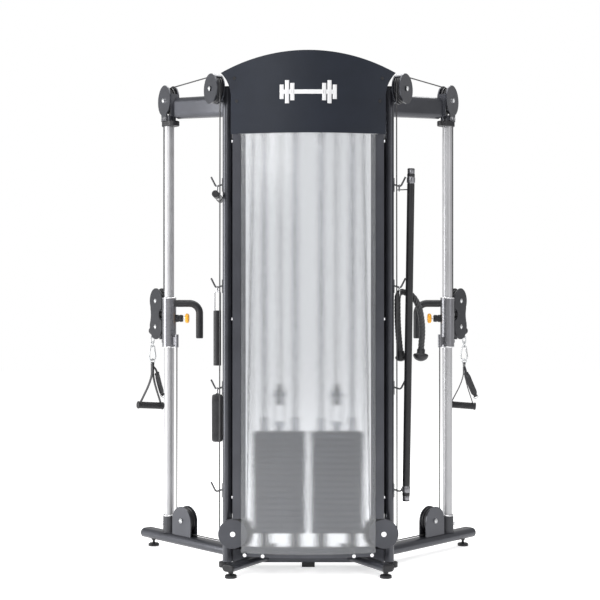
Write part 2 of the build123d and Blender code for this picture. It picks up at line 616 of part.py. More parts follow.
def make_swivel():
    """Side plates, pivot pins, spacers, wheel bolts, the cable between the wheels and its ball stop."""
    plane = wall(SWIVEL, SWING)
    ends = [Pos(SWIVEL_CABLE_R, z) * Circle(59) for z in (SWIVEL_UPPER_Z, SWIVEL_LOWER_Z)]
    outline = ends[0] + ends[1] + box_sketch(-9, SWIVEL_CABLE_R + 52, SWIVEL_LOWER_Z, SWIVEL_UPPER_Z)
    outline -= Pos(-9, SWIVEL_MIDDLE_Z) * Circle(27)
    outline -= Pos(SWIVEL_CABLE_R + 120, SWIVEL_MIDDLE_Z) * Circle(72)
    outline &= box_sketch(-9, 200, 900, 1300)
    outline += box_sketch(-9, 12, 967, 984)
    bolts = [axle(c, SWING_SIDE, -17.5, 17.5, head=3) for c in (SWIVEL_UPPER, SWIVEL_LOWER)]
    plates = [cut(slab(plane, outline, low, low + 4), bolts) for low in (-17.5, 13.5)]
    blocks = [slab(plane, box_sketch(-7, 7, low, low + 8), -13.5, 13.5) for low in (1097, 1059, 967)]
    pins = [rod(SWIVEL + UP * 1059, SWIVEL + UP * 1105, 5), rod(SWIVEL + UP * 951, SWIVEL + UP * 975, 5)]
    yoke = joined(plates + blocks + pins)
    near = SWIVEL + UP * SWIVEL_UPPER_Z
    upper_turn = 62
    cable = wrap(SWIVEL_UPPER, SWING_SIDE, near, upper_turn)
    a = math.radians(180 + upper_turn)
    leave = SWIVEL_UPPER + (SWING * math.cos(a) + UP * math.sin(a)) * SWIVEL_CABLE_R
    b = math.radians(75)
    arrive = SWIVEL_LOWER + (SWING * math.cos(b) + UP * math.sin(b)) * SWIVEL_CABLE_R
    cable += rod(leave, arrive, CABLE_R)
    cable += wrap(SWIVEL_LOWER, SWING_SIDE, arrive, -50)
    c = math.radians(25)
    last = SWIVEL_LOWER + (SWING * math.cos(c) + UP * math.sin(c)) * SWIVEL_CABLE_R
    cable += rod(last, BALL, CABLE_R)
    ball = Pos(*BALL) * Sphere(BALL_R)
    room = rod(SWIVEL_LOWER - SWING_SIDE * 17.6, SWIVEL_LOWER + SWING_SIDE * 17.6, 59.5)
    eye = ring(BALL - UP * EYE_DROP, 7, 2.5, SWING_SIDE) + rod(BALL - UP * 23, BALL - UP * 15, 4)
    ball = ball - room + eye
    return [yoke] + bolts + [cable - ball, ball - cable]


write_pair("carriage", [make_carriage()])
write_pair("pop_pin", make_pop_pin())
write_pair("swivel_block", make_swivel())


# ---------------------------------------------------------------- handles on the cable ends
def long_link(top, tall, wide, wire, across):
    """Oval chain link hanging from the point top, lying in the plane of Z and across."""
    plane = Plane(origin=top, x_dir=across, z_dir=across.cross(UP))
    reach = (tall - wide) / 2
    middle = Vector(0, -tall / 2 + wire, 0)
    path_r = wide / 2 - wire
    link = None
    for end, turn in ((reach, 1), (-reach, -1)):
        half = Torus(path_r, wire) & Pos(0, turn * 50, 0) * Box(200, 100, 50)
        half = Pos(0, middle.Y + end, 0) * half
        link = half if link is None else link + half
    for x in (-path_r, path_r):
        side = Rot(90, 0, 0) * Cylinder(wire, 2 * reach)
        link += Pos(x, middle.Y, 0) * side
    return plane * link


def make_snap_hook(at):
    """Short chain, snap hook and end ring under a cable end, each hanging in the one above."""
    first = long_link(at - UP * 26.2, 34, 20, 2.6, SWING_SIDE)
    second = long_link(at - UP * 50.2, 30, 18, 2.4, SWING)
    hook = long_link(at - UP * 68.6, 74, 38, 3.4, SWING_SIDE)
    last = ring(at - UP * 144.2, 11, 2.6, SWING)
    return [first, second, hook, last]


def make_strap_handle(at, turn, pad_turn):
    """Webbing stirrup with a tubular grip, and a short padded strap with its own ring.
    Both are made in the plane of X and Z below the origin and then turned about the vertical."""
    top, low, split = -158.4, -353, -226
    grip_middle, half, tilt = Vector(-10, 0, low), 64.5, 5
    end = Vector(half, 0, -tilt)
    grip = rod(grip_middle - end, grip_middle + end, 17)
    handle = block((-12.5, -2, split - 4), (12.5, 2, top))
    for side in (-1, 1):
        foot = grip_middle + end * (side * 0.86)
        crown = Vector(side * 1.5, 0, split)
        run = foot - crown
        leg = Plane(origin=crown, x_dir=DEPTHWAYS, z_dir=run) * Rectangle(25, 3.2)
        handle += extrude(leg, run.length)
    handle -= grip
    handle = max(handle.solids(), key=lambda s: s.volume)
    pad_top, pad_end = Vector(8, -21, -204), Vector(48, -21, -300)
    pad_plane = Plane(origin=pad_top, x_dir=DEPTHWAYS, z_dir=pad_end - pad_top)
    pad = extrude(pad_plane * RectangleRounded(11, 30, 5), (pad_end - pad_top).length)
    dee = ring(pad_end + (pad_end - pad_top).normalized() * 12.2, 10, 2, DEPTHWAYS)
    turned = [Rot(0, 0, turn) * s for s in (grip, handle)] + [Rot(0, 0, pad_turn) * s for s in (pad, dee)]
    return [Pos(*at) * s for s in turned]


LEFT_BALL = Vector(-BALL.X, BALL.Y, BALL.Z)
write_pair("snap_hook", make_snap_hook(BALL))
write("strap_handle_right", make_strap_handle(BALL, 0, 0))
write("strap_handle_left", make_strap_handle(LEFT_BALL, 28, 60))


# ---------------------------------------------------------------- storage hooks and what hangs on them
def make_hook(z):
    plate = block((POST_OUTER, HOOK_Y - 14, z - 22), (POST_OUTER + 3, HOOK_Y + 14, z + 36))
    points = [
        (POST_OUTER + 3, HOOK_Y, z + 9), (HOOK_X, HOOK_Y, z), (HOOK_X + 21, HOOK_Y, z + 42),
    ]
    return plate + bend_rod(points, 4, 11)


def hanging_ring(z, side, major=14):
    """Ring that rests on the lowest point of a storage hook's rod."""
    return ring(Vector(side * HOOK_LOW_X, HOOK_Y, z + 9.1 - major), major, 2.5, SIDEWAYS)


def make_long_bar():
    top, foot = Vector(441, 180, 1714), Vector(419, 180, 288)
    along = (foot - top).normalized()
    grip_top, grip_foot = top + along * 66, foot - along * 66
    bar = rod(grip_top, grip_foot, 16) + rod(top, grip_top, 14) + rod(grip_foot, foot, 14)
    eye_z = HOOK_HEIGHTS[0] - 13.7
    reach = (top.Z - eye_z) / (top.Z - foot.Z)
    eye = top + (foot - top) * reach
    pin = rod(eye, (HOOK_LOW_X - 8, HOOK_Y + 2, eye_z), 2.5)
    return [bar + pin, hanging_ring(HOOK_HEIGHTS[0], 1)]


def make_short_bar():
    z = HOOK_HEIGHTS[0] - 40
    x = -HOOK_LOW_X
    grips = [rod((x, y, z), (x, y + 90, z), 15) for y in (95, 300)]
    middle = rod((x, 185, z), (x, 300, z), 13)
    eye = block((x - 4, HOOK_Y - 9, z + 8), (x + 4, HOOK_Y + 9, z + 18.4))
    return [joined(grips + [middle, eye]), hanging_ring(HOOK_HEIGHTS[0], -1)]


def make_row_handle():
    x, z = -HOOK_LOW_X, HOOK_HEIGHTS[1]
    frame = Pos(x, HOOK_Y, z - 24.2) * (
        Plane.XZ * (Torus(12, 4) & Pos(0, 50, 0) * Box(100, 100, 20))
    )
    for side in (-1, 1):
        frame += rod((x + side * 12, HOOK_Y, z - 98), (x + side * 12, HOOK_Y, z - 24.2), 4)
    grip = rod((x, HOOK_Y, z - 334), (x, HOOK_Y, z - 97), 16.5)
    return [frame - grip, grip, hanging_ring(z, -1)]


def make_ankle_strap():
    x, z = -HOOK_LOW_X, HOOK_HEIGHTS[2]
    tall, deep, thick, wide = 204, 60, 9, 42
    plane = Plane(origin=(x - wide / 2, HOOK_Y, z - 21.6 - tall / 2), x_dir=(0, 0, 1), z_dir=(1, 0, 0))
    band = SlotOverall(tall, deep) - SlotOverall(tall - 2 * thick, deep - 2 * thick)
    return [extrude(plane * band, wide), hanging_ring(z, -1)]


ROPE_R = 14
ROPE_TOP = (404, 208, 1185)
ROPE_LEFT = [
    ROPE_TOP, (385, 207, 1184), (384.5, 209, 1115), (386, 208, 1045), (391, 210, 975), (399, 213, 908),
]
ROPE_RIGHT = [
    ROPE_TOP, (430, 213, 1182), (458, 221, 1160), (480, 226, 1120), (491, 228, 1064),
    (494, 228, 1008), (489, 229, 955), (487, 228, 916),
]


def corner_radii(points, first=None):
    """An arc at each corner, 0.45 of the shorter run over the tangent of half the turn."""
    v = [Vector(*p) for p in points]
    radii = []
    for a, b, c in zip(v, v[1:], v[2:]):
        turn = math.radians((b - a).get_angle(c - b))
        radii.append(0.45 * min((b - a).length, (c - b).length) / math.tan(turn / 2))
    if first:
        radii[0] = first
    return radii


def make_triceps_rope():
    pieces = []
    for points, first, stop_r in ((ROPE_LEFT, 17, 25), (ROPE_RIGHT, None, 33)):
        radii = corner_radii(points, first)
        print("rope radii", [round(r) for r in radii])
        pieces.append(bend_rod(points, ROPE_R, radii))
        end, before = Vector(*points[-1]), Vector(*points[-2])
        along = (end - before).normalized()
        dome = Plane(origin=end, z_dir=along) * (Sphere(stop_r) & Pos(0, 0, 50) * Box(100, 100, 100))
        pieces.append(dome)
    return pieces + [hanging_ring(HOOK_HEIGHTS[1], 1, major=22)]


write("storage_hooks", both([make_hook(z) for z in HOOK_HEIGHTS]))
write("long_bar", make_long_bar())
write("short_bar", make_short_bar())
write("row_handle", make_row_handle())
write("ankle_strap", make_ankle_strap())
write("triceps_rope", make_triceps_rope())


# ---------------------------------------------------------------- feet, caps and fasteners
def levelling_foot(x, y, r, top):
    base = Pos(x, y, 6) * Cylinder(r, 12)
    base = chamfer(base.edges().sort_by(Axis.Z)[-1], 3)
    return base + rod((x, y, 12), (x, y, top), 6) + rod((x, y, top - 8), (x, y, top), 11)


def end_cap(centre, along, wide, tall):
    cap = oval_bar(centre, centre + along * 9, wide, tall)
    face = cap.faces().sort_by(lambda f: f.center().dot(along))[-1]
    return fillet(face.edges(), 6)


def make_feet_and_caps():
    outer_foot = UPRIGHT + LEG * 115
    leg_bottom = LEG_MIDDLE_Z - LEG_TALL / 2
    post_foot = Pos(358, 212, 10) * Cylinder(28, 20) + rod((358, 212, 20), (358, 212, POST_BOTTOM), 9)
    bumper_plane = Plane(origin=UPRIGHT - LEG * 10 + UP * 1950, x_dir=LEG)
    bumper = extrude(bumper_plane * SlotOverall(94, 58), 23)
    bumper = fillet(bumper.edges().filter_by(GeomType.LINE), 3)
    bumper -= rod(UPRIGHT + UP * 1940, UPRIGHT + UP * 1980, UPRIGHT_R + 0.05)
    post_cap = extrude(
        Plane(origin=(POST_X, POST_Y, POST_TOP)) * Rot(0, 0, 90) * SlotOverall(POST_DEEP, POST_WIDE), 5
    )
    front_along = Vector(139, -223, 0).normalized()
    cushions = [
        pipe((x, STACK_Y, BASE_TUBE_TOP), (x, STACK_Y, STACK_LOW), 23, ROD_R)
        for x in (STACK_X - ROD_OFFSET, STACK_X + ROD_OFFSET)
    ]
    right = [
        levelling_foot(outer_foot.X, outer_foot.Y, 25, leg_bottom),
        levelling_foot(321, 5, 25, 26.5),
        post_foot, bumper, post_cap,
        end_cap(UPRIGHT + LEG * LEG_OUT + UP * LEG_MIDDLE_Z, LEG, LEG_WIDE, LEG_TALL),
        end_cap(Vector(329, -8, 42), front_along, 57, 31),
    ]
    return both(right + cushions) + [block((-28, 200, 0), (28, 244, BASE_TUBE_LOW))]


def panel_front_y(outer_r, x):
    return PANEL_CENTRE_Y - math.sqrt(outer_r**2 - x**2)


def make_small_bolts():
    """Heads of the smaller fasteners on the right-hand side."""
    header, rail = make_header(), make_rail()[0]
    bolts = []
    for x, z in ((310, 2078), (300, 1982)):
        y = panel_front_y(SHROUD_R + 7, x)
        bolts.append(rod((x, y - 3, z), (x, y + 2, z), 6.5) - header)
    for x in (190, 266):
        y = panel_front_y(SHROUD_R - 7, x)
        bolts.append(rod((x, y - 15, 84), (x, y + 3, 84), 7.5) - rail)
    bolts = [max(b.solids(), key=lambda s: s.distance_to(Vertex(0, 900, 0))) for b in bolts]
    for z in (1816, 1070, 322):
        bolts.append(rod((317, 72, z), (322, 72, z), 6))
    socket = UPRIGHT + UP * 120 + SIDEWAYS * 28
    bolts.append(cut(rod(socket, socket + SIDEWAYS * 9, 7.5), [OUTER_LEG]))
    plane_x = TOP_OUTER + TOP_SIDE * 24
    for along in (-14, 14):
        head = Vector(plane_x.X, plane_x.Y, 1986) + TOP * along
        bolts.append(rod(head, head + TOP_SIDE * 5, 7))
    return bolts


write("feet_and_caps", make_feet_and_caps())
write("frame_bolts", both(list(AXLES.values()) + make_small_bolts()))
print(len(written), "nodes")
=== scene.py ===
import math
import bpy
from mathutils import Matrix, Vector


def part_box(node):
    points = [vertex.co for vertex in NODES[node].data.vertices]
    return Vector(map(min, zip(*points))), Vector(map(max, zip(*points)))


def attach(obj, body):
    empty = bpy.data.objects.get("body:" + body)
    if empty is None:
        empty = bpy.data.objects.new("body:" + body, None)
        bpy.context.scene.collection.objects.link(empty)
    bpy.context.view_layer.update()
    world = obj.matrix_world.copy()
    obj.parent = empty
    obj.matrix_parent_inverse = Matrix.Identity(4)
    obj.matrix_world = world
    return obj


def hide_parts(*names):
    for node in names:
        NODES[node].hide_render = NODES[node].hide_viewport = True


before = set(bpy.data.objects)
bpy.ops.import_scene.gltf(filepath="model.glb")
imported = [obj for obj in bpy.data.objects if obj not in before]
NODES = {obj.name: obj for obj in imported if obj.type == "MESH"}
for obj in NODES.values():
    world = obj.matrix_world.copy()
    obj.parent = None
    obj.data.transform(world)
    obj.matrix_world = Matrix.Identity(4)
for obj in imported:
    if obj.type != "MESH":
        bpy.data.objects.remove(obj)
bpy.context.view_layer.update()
SIDES = (("right", 1), ("left", -1))
UP = Vector((0, 0, 1))
DEPTH_CENTRE = 0.366


# ---------------------------------------------------------------- places, in metres
def place(x, y, z, side=1):
    """A point of the layout, whose Y runs from the line of the front feet, in the part's own frame."""
    return Vector((side * x, y - DEPTH_CENTRE, z))


def heading(degrees, side=1):
    a = math.radians(degrees)
    return Vector((side * math.cos(a), math.sin(a), 0))


UPRIGHT_X, UPRIGHT_Y, UPRIGHT_R = 0.642, 0.574, 0.02225
TOP_INNER_X, TOP_INNER_Y, TOP_SPAN, TOP_ANGLE = 0.400, 0.142, 0.500, 60.6
TOP_INNER_Z, TOP_OUTER_Z, TOP_REACH = 2.048, 2.069, 0.557
LEG_ANGLE, SWIVEL_ANGLE = 44.5, 55
LEG_WHEEL_BACK, BASE_WHEEL_BACK, LOW_WHEEL_Z = 0.112, 0.500, 0.147
BALL_REACH, BALL_Z = 0.114, 1.004
SWIVEL_CABLE_R = 0.049
SWIVEL_UPPER_Z, SWIVEL_LOWER_Z = 1.146, 1.025
SLEEVE_R, SLEEVE_LOW, SLEEVE_TOP = 0.032, 0.933, 1.160
GRIP_R, GRIP_REACH, GRIP_Z, GRIP_END_Z = 0.016, 0.140, 1.134, 0.975
PIN_Z = 1.065
HOOK_HEIGHTS = (1.638, 1.202, 0.765, 0.324)
HOOK_LOW_X, HOOK_Y = 0.392, 0.205


def upright(side):
    return place(UPRIGHT_X, UPRIGHT_Y, 0, side)


def swivel(side):
    return place(TOP_INNER_X, TOP_INNER_Y, 0, side) + heading(TOP_ANGLE, side) * TOP_REACH


def ball(side):
    return swivel(side) + heading(SWIVEL_ANGLE, side) * BALL_REACH + UP * BALL_Z


# ---------------------------------------------------------------- camera, lights and floor
def make_camera():
    data = bpy.data.cameras.new("camera")
    data.lens, data.sensor_width = 71.5, 36
    data.shift_x = -0.0138
    data.clip_end = 60
    camera = bpy.data.objects.new("camera", data)
    camera.location = (0, -4.930 - DEPTH_CENTRE, 1.150)
    camera.rotation_euler = (math.radians(90), 0, 0)
    bpy.context.scene.collection.objects.link(camera)
    bpy.context.scene.camera = camera


def area_light(name, at, toward, size, watts, colour=(1, 1, 1)):
    data = bpy.data.lights.new(name, "AREA")
    data.shape, data.size, data.size_y = "RECTANGLE", size[0], size[1]
    data.energy, data.color = watts, colour
    light = bpy.data.objects.new(name, data)
    light.location = at
    light.rotation_euler = (Vector(toward) - Vector(at)).to_track_quat("-Z", "Y").to_euler()
    bpy.context.scene.collection.objects.link(light)


def make_world():
    world = bpy.data.worlds.new("studio")
    world.use_nodes = True
    tree = world.node_tree
    tree.nodes["Background"].inputs["Color"].default_value = (1, 1, 1, 1)
    tree.nodes["Background"].inputs["Strength"].default_value = 0.5
    white = tree.nodes.new("ShaderNodeBackground")
    white.inputs["Color"].default_value = (1, 1, 1, 1)
    white.inputs["Strength"].default_value = 1.0
    path = tree.nodes.new("ShaderNodeLightPath")
    seen = tree.nodes.new("ShaderNodeMath")
    seen.operation = "MAXIMUM"
    mix = tree.nodes.new("ShaderNodeMixShader")
    tree.links.new(path.outputs["Is Camera Ray"], seen.inputs[0])
    tree.links.new(path.outputs["Is Transmission Ray"], seen.inputs[1])
    tree.links.new(seen.outputs[0], mix.inputs[0])
    tree.links.new(tree.nodes["Background"].outputs[0], mix.inputs[1])
    tree.links.new(white.outputs[0], mix.inputs[2])
    tree.links.new(mix.outputs[0], tree.nodes["World Output"].inputs["Surface"])
    bpy.context.scene.world = world
    bpy.context.scene.view_settings.view_transform = "Standard"


def make_floor():
    mesh = bpy.data.meshes.new("floor")
    half = 14
    corners = [(-half, -half, 0), (half, -half, 0), (half, half, 0), (-half, half, 0)]
    mesh.from_pydata(corners, [], [(0, 1, 2, 3)])
    floor = bpy.data.objects.new("floor", mesh)
    bpy.context.scene.collection.objects.link(floor)
    mat = bpy.data.materials.new("floor_white")
    mat.use_nodes = True
    bsdf = mat.node_tree.nodes["Principled BSDF"]
    bsdf.inputs["Base Color"].default_value = (0.93, 0.93, 0.93, 1)
    bsdf.inputs["Roughness"].default_value = 0.75
    bsdf.inputs["Emission Color"].default_value = (1, 1, 1, 1)
    bsdf.inputs["Emission Strength"].default_value = 0.55
    mesh.materials.append(mat)


make_camera()
make_world()
make_floor()
area_light("key", (-1.9, -4.5, 3.3), (0, 0, 1.1), (1.8, 2.6), 68)
area_light("side", (-4.4, -0.9, 1.7), (0, 0.1, 1.2), (2.2, 3.4), 165)
area_light("fill", (3.8, -3.0, 2.4), (0.2, 0, 1.0), (1.6, 2.6), 26)
area_light("top", (0, -0.6, 4.8), (0, 0.1, 0), (3.4, 3.4), 110)
area_light("back", (0.6, 3.2, 5.2), (0, 0, 1.1), (3.2, 2.4), 90)


# ---------------------------------------------------------------- materials
def node(tree, kind, **settings):
    made = tree.nodes.new(kind)
    for key, value in settings.items():
        if hasattr(made, key):
            setattr(made, key, value)
        else:
            made.inputs[key].default_value = value
    return made


def noise(tree, scale, stretch, detail=3.0, roughness=0.5):
    coords = node(tree, "ShaderNodeTexCoord")
    mapping = node(tree, "ShaderNodeMapping")
    mapping.inputs["Scale"].default_value = stretch
    made = node(tree, "ShaderNodeTexNoise", Scale=scale, Detail=detail, Roughness=roughness)
    tree.links.new(coords.outputs["Object"], mapping.inputs["Vector"])
    tree.links.new(mapping.outputs["Vector"], made.inputs["Vector"])
    return made.outputs["Fac"]


def ramp(tree, source, low, high, start=0.35, end=0.65):
    made = node(tree, "ShaderNodeMapRange")
    made.inputs["From Min"].default_value = start
    made.inputs["From Max"].default_value = end
    made.inputs["To Min"].default_value = low
    made.inputs["To Max"].default_value = high
    tree.links.new(source, made.inputs["Value"])
    return made.outputs["Result"]


def surface(name, colour, rough, metal=0.0, vary=0.12, vary_scale=9.0, stretch=(1, 1, 1),
            rough_vary=0.06, grain=700.0, grain_stretch=(1, 1, 1), bump=0.12, depth=0.0002, coat=0.0,
            sheen=0.0, transmission=0.0, specular=0.5):
    """Procedural finish: slow colour change, a finer change of roughness, and a bumped grain."""
    mat = bpy.data.materials.new(name)
    mat.use_nodes = True
    tree = mat.node_tree
    bsdf = tree.nodes["Principled BSDF"]
    bsdf.inputs["Metallic"].default_value = metal
    bsdf.inputs["Specular IOR Level"].default_value = specular
    bsdf.inputs["Coat Weight"].default_value = coat
    bsdf.inputs["Coat Roughness"].default_value = 0.12
    bsdf.inputs["Sheen Weight"].default_value = sheen
    bsdf.inputs["Sheen Roughness"].default_value = 0.4
    bsdf.inputs["Transmission Weight"].default_value = transmission
    shade = ramp(tree, noise(tree, vary_scale, stretch), 0.0, 1.0)
    mix = node(tree, "ShaderNodeMix", data_type="RGBA")
    mix.inputs[6].default_value = (*[c * (1 - vary) for c in colour], 1)
    mix.inputs[7].default_value = (*[min(1, c * (1 + vary)) for c in colour], 1)
    tree.links.new(shade, mix.inputs[0])
    tree.links.new(mix.outputs[2], bsdf.inputs["Base Color"])
    fine = noise(tree, grain * 0.16, grain_stretch)
    tree.links.new(ramp(tree, fine, rough - rough_vary, rough + rough_vary), bsdf.inputs["Roughness"])
    if bump:
        height = noise(tree, grain, grain_stretch, detail=2.0)
        bumps = node(tree, "ShaderNodeBump", Strength=bump, Distance=depth)
        tree.links.new(height, bumps.inputs["Height"])
        tree.links.new(bumps.outputs["Normal"], bsdf.inputs["Normal"])
    return mat


def woven(name, colour, pitch=0.0021, rough=0.78):
    """Woven webbing: two crossed waves for the weave, and a soft sheen."""
    mat = surface(name, colour, rough, vary=0.25, vary_scale=40, bump=0, sheen=0.25)
    tree = mat.node_tree
    bsdf = tree.nodes["Principled BSDF"]
    coords = node(tree, "ShaderNodeTexCoord")
    waves = []
    for direction in ("Z", "DIAGONAL"):
        wave = node(tree, "ShaderNodeTexWave", bands_direction=direction, Scale=1 / (pitch * 20))
        wave.inputs["Distortion"].default_value = 0.6
        tree.links.new(coords.outputs["Object"], wave.inputs["Vector"])
        waves.append(wave.outputs["Fac"])
    both = node(tree, "ShaderNodeMath", operation="MULTIPLY")
    tree.links.new(waves[0], both.inputs[0])
    tree.links.new(waves[1], both.inputs[1])
    bumps = node(tree, "ShaderNodeBump", Strength=0.55, Distance=0.0007)
    tree.links.new(both.outputs[0], bumps.inputs["Height"])
    tree.links.new(bumps.outputs["Normal"], bsdf.inputs["Normal"])
    return mat


def frosted(name):
    """Frosted panel: pale body with fine upright fibres, which spread the view more sideways than upwards,
    and faint broad upright bands of painted light in its colour.
    """
    # stretch lays the colour change out as broad upright bands: painted light.
    return surface(name, (0.665, 0.68, 0.705), 0.12, vary=0.02, vary_scale=3, stretch=(2.2, 1, 0.2),
                   rough_vary=0.02, grain=1500, grain_stretch=(1, 1, 0.01), bump=1.0, depth=0.00022,
                   transmission=0.92, specular=0.3)


GUNMETAL = surface("gunmetal_paint", (0.048, 0.050, 0.060), 0.38, metal=0.6, vary=0.1, grain=2600,
                   bump=0.1, coat=0.35)
TEXTURED = surface("textured_sleeve", (0.045, 0.046, 0.052), 0.55, metal=0.3, grain=900, bump=0.5,
                   depth=0.0006)
HEADER = surface("header_paint", (0.009, 0.012, 0.020), 0.48, metal=0.1, vary=0.08, grain=2400, bump=0.08,
                 coat=0.0, specular=0.3)
SILVER = surface("silver_tube", (0.44, 0.44, 0.452), 0.46, metal=0.75, vary=0.05, grain=500,
                 grain_stretch=(1, 1, 0.02), bump=0.1, rough_vary=0.05)
MID_METAL = surface("grey_metallic", (0.215, 0.215, 0.23), 0.3, metal=0.85, vary=0.08, grain=2200, bump=0.08,
                    coat=0.3)
CHROME = surface("polished_steel", (0.72, 0.72, 0.735), 0.16, metal=1.0, vary=0.04, grain=300, bump=0.03)
ZINC = surface("zinc_wire", (0.56, 0.57, 0.58), 0.3, metal=1.0, vary=0.12, vary_scale=90, grain=900,
               bump=0.15)
DARK_STEEL = surface("dark_steel", (0.12, 0.12, 0.125), 0.3, metal=1.0, vary=0.12, vary_scale=60, grain=900)
SWIVEL_PAINT = surface("swivel_paint", (0.026, 0.027, 0.031), 0.5, metal=0.1, grain=1500, bump=0.16,
                       specular=0.3)
PLASTIC = surface("black_plastic", (0.014, 0.014, 0.016), 0.42, vary=0.2, grain=1600, bump=0.2, specular=0.35)
NYLON = surface("pulley_nylon", (0.016, 0.016, 0.019), 0.38, vary=0.15, grain=800, bump=0.14, specular=0.35)
RUBBER = surface("black_rubber", (0.012, 0.012, 0.014), 0.46, vary=0.2, grain=1200, bump=0.22, specular=0.4)
CABLE = surface("cable_jacket", (0.03, 0.03, 0.032), 0.36, vary=0.15, grain=900, bump=0.08)
IRON = surface("cast_iron_plate", (0.024, 0.026, 0.034), 0.56, metal=0.2, vary=0.25, vary_scale=30, grain=420,
               bump=0.4, depth=0.0005)
WEBBING = woven("black_webbing", (0.022, 0.022, 0.025))
ROPE_YARN = surface("rope_yarn", (0.03, 0.03, 0.033), 0.46, vary=0.3, vary_scale=400, grain=2600, bump=0.5,
                    depth=0.0004, sheen=0.2)
THREAD = surface("stitch_thread", (0.09, 0.09, 0.095), 0.7, vary=0.2, grain=3000, bump=0.2)
NEOPRENE = surface("padded_fabric", (0.026, 0.026, 0.029), 0.72, vary=0.2, vary_scale=70, grain=2200,
                   bump=0.45, depth=0.0004, sheen=0.3)
ORANGE = surface("orange_knob", (0.92, 0.41, 0.012), 0.3, vary=0.05, grain=900, bump=0.06, coat=0.4)
# Plate rims: lighter than the plate iron, so that the iron left bare between them is painted shade at the
# plate joints.
PLATE_RIM = surface("plate_rim", (0.085, 0.09, 0.108), 0.42, metal=0.5, grain=600, bump=0.3)
EMBLEM = surface("emblem_print", (0.62, 0.62, 0.63), 0.45, vary=0.04, grain=900, bump=0.05)
FROSTED = frosted("frosted_panel")


# ---------------------------------------------------------------- finishes on the CAD nodes
def paint(name, base, *rules):
    """Gives a CAD node its base finish, and another finish to the faces that a rule picks by their middle."""
    data = NODES[name].data
    data.materials.clear()
    data.materials.append(base)
    for mat, _ in rules:
        data.materials.append(mat)
    for face in data.polygons:
        face.material_index = 0
        for index, (_, picks) in enumerate(rules, 1):
            if picks(face.center):
                face.material_index = index
                break


def near_axis(point, axis, radius):
    """True for points closer than radius to the line through point along axis."""
    axis = Vector(axis).normalized()

    def picks(c):
        return (c - point).cross(axis).length < radius
    return picks


def finish_frame():
    for name in ("tower_frame", "base_frame", "top_arms", "pulley_brackets", "shroud_channels"):
        paint(name, GUNMETAL)
    paint("outer_legs", GUNMETAL, (TEXTURED, lambda c: c.z > 0.0802))
    paint("uprights", SILVER)
    paint("shroud_panel", FROSTED)
    paint("header_panel", HEADER)
    paint("weight_plates", IRON)
    paint("guide_rods", CHROME)
    paint("cables_fixed", CABLE)
    paint("storage_hooks", DARK_STEEL)
    paint("feet_and_caps", PLASTIC)
    header_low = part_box("header_panel")[0].z
    paint("frame_bolts", CHROME, (PLASTIC, lambda c: c.y < -0.2 and c.z > header_low))


def finish_accessories():
    long_low, long_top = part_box("long_bar")[0].z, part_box("long_bar")[1].z
    sleeve = 0.066
    paint("long_bar", RUBBER,
          (MID_METAL, lambda c: c.z < long_low + sleeve or c.z > long_top - sleeve or c.x < 0.404))
    grip_ends = (0.1852 - DEPTH_CENTRE, 0.2998 - DEPTH_CENTRE)
    bar_z = HOOK_HEIGHTS[0] - 0.040
    paint("short_bar", RUBBER,
          (CHROME, lambda c: grip_ends[0] < c.y < grip_ends[1] or c.z > bar_z + 0.018))
    paint("row_handle", RUBBER, (CHROME, lambda c: c.z > HOOK_HEIGHTS[1] - 0.0965))


def finish_moving():
    for side, sign in SIDES:
        top, leg, swing = (heading(a, sign) for a in (TOP_ANGLE, LEG_ANGLE, SWIVEL_ANGLE))
        wheels = {
            "top_outer_wheel": top, "top_inner_wheel": top, "base_wheel": leg, "leg_wheel": leg,
            "swivel_upper_wheel": swing, "swivel_lower_wheel": swing,
        }
        for name in ("tower_wheel", "header_front_wheel", "header_rear_wheel"):
            wheels[name] = Vector((1, 0, 0))
        wheels["travelling_wheel"] = Vector((0, 1, 0))
        for name, along in wheels.items():
            low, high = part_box(f"{name}_{side}")
            axis = along.cross(UP)
            paint(f"{name}_{side}", NYLON, (ZINC, near_axis((low + high) / 2, axis, 0.0165)))
        for name in ("cable_upper_line", "cable_lower_line", "cable_stack_lines"):
            paint(f"{name}_{side}", CABLE)
        at = upright(sign)
        inner = at.x - sign * 0.034

        def on_grip(c, sign=sign, inner=inner, at=at):
            off_barrel = not near_axis(at + UP * PIN_Z, (1, 0, 0), 0.0165)(c)
            return (c.x - inner) * sign < 0 and off_barrel and abs(c.y - at.y) < 0.0175

        def on_barrel(c, sign=sign, inner=inner, at=at):
            return (c.x - inner) * sign < 0 and near_axis(at + UP * PIN_Z, (1, 0, 0), 0.0165)(c)
        paint(f"carriage_{side}", MID_METAL, (RUBBER, on_grip), (PLASTIC, on_barrel))
        knob_x = at.x - sign * 0.0735
        paint(f"pop_pin_{side}", ZINC, (ORANGE, lambda c, k=knob_x, s=sign: (c.x - k) * s < 0))
        axis = swing.cross(UP)
        middles = [swivel(sign) + swing * SWIVEL_CABLE_R + UP * z for z in (SWIVEL_UPPER_Z, SWIVEL_LOWER_Z)]
        here = ball(sign)
        paint(f"swivel_block_{side}", SWIVEL_PAINT,
              (CHROME, near_axis(middles[0], axis, 0.0114)), (CHROME, near_axis(middles[1], axis, 0.0114)),
              (ZINC, lambda c, h=here: c.z < h.z - 0.0178 and (c - h).length < 0.05),
              (RUBBER, lambda c, h=here: (c - h).length < 0.0205))
        stack_top = HOOK_HEIGHTS[0] - 1.0602
        paint(f"selector_head_{side}", IRON, (CHROME, lambda c, z=stack_top: c.z > z + 0.0005))
        paint(f"selector_pin_{side}", ZINC, (PLASTIC, lambda c: c.y > -0.0695))


finish_frame()
finish_accessories()
finish_moving()


